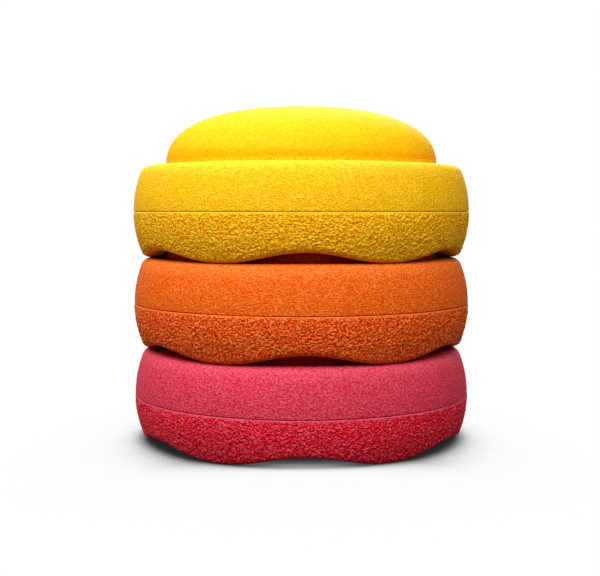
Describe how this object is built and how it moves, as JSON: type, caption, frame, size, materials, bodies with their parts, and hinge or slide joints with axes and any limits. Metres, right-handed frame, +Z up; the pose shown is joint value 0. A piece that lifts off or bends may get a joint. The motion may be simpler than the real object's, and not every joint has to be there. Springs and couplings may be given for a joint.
{
  "type": "balance stepping stone",
  "caption": "Round foam balance stepping stones for children, stacked dome into hollow, each with a shallow dome, flat ledge, bulging textured band and wavy foot rim.",
  "frame": {"origin": "on the floor, on the stones' common axis, under the middle of the stack", "axes": "+Z up along the stones' common axis; the front, -Y, has an arch of each wavy rim in its middle, and +X and -X each have a foot"},
  "size_m": [0.275, 0.275, 0.2709],
  "materials": {
    "red_bead_foam": "matte moulded bead foam, coarse below the seam",
    "orange_bead_foam": "matte moulded bead foam, coarse below the seam",
    "yellow_bead_foam": "matte moulded bead foam, coarse below the seam"
  },
  "bodies": {
    "bottom_stone": {"bottom_stone": "red_bead_foam"},
    "middle_stone": {"middle_stone": "orange_bead_foam"},
    "top_stone": {"top_stone": "yellow_bead_foam"}
  },
  "joints": [
    {"name": "middle_lift", "type": "slide", "parent": "bottom_stone", "child": "middle_stone", "axis": [0, 0, 1], "range_m": [0, 0.08]},
    {"name": "top_lift", "type": "slide", "parent": "middle_stone", "child": "top_stone", "axis": [0, 0, 1], "range_m": [0, 0.08]}
  ]
}
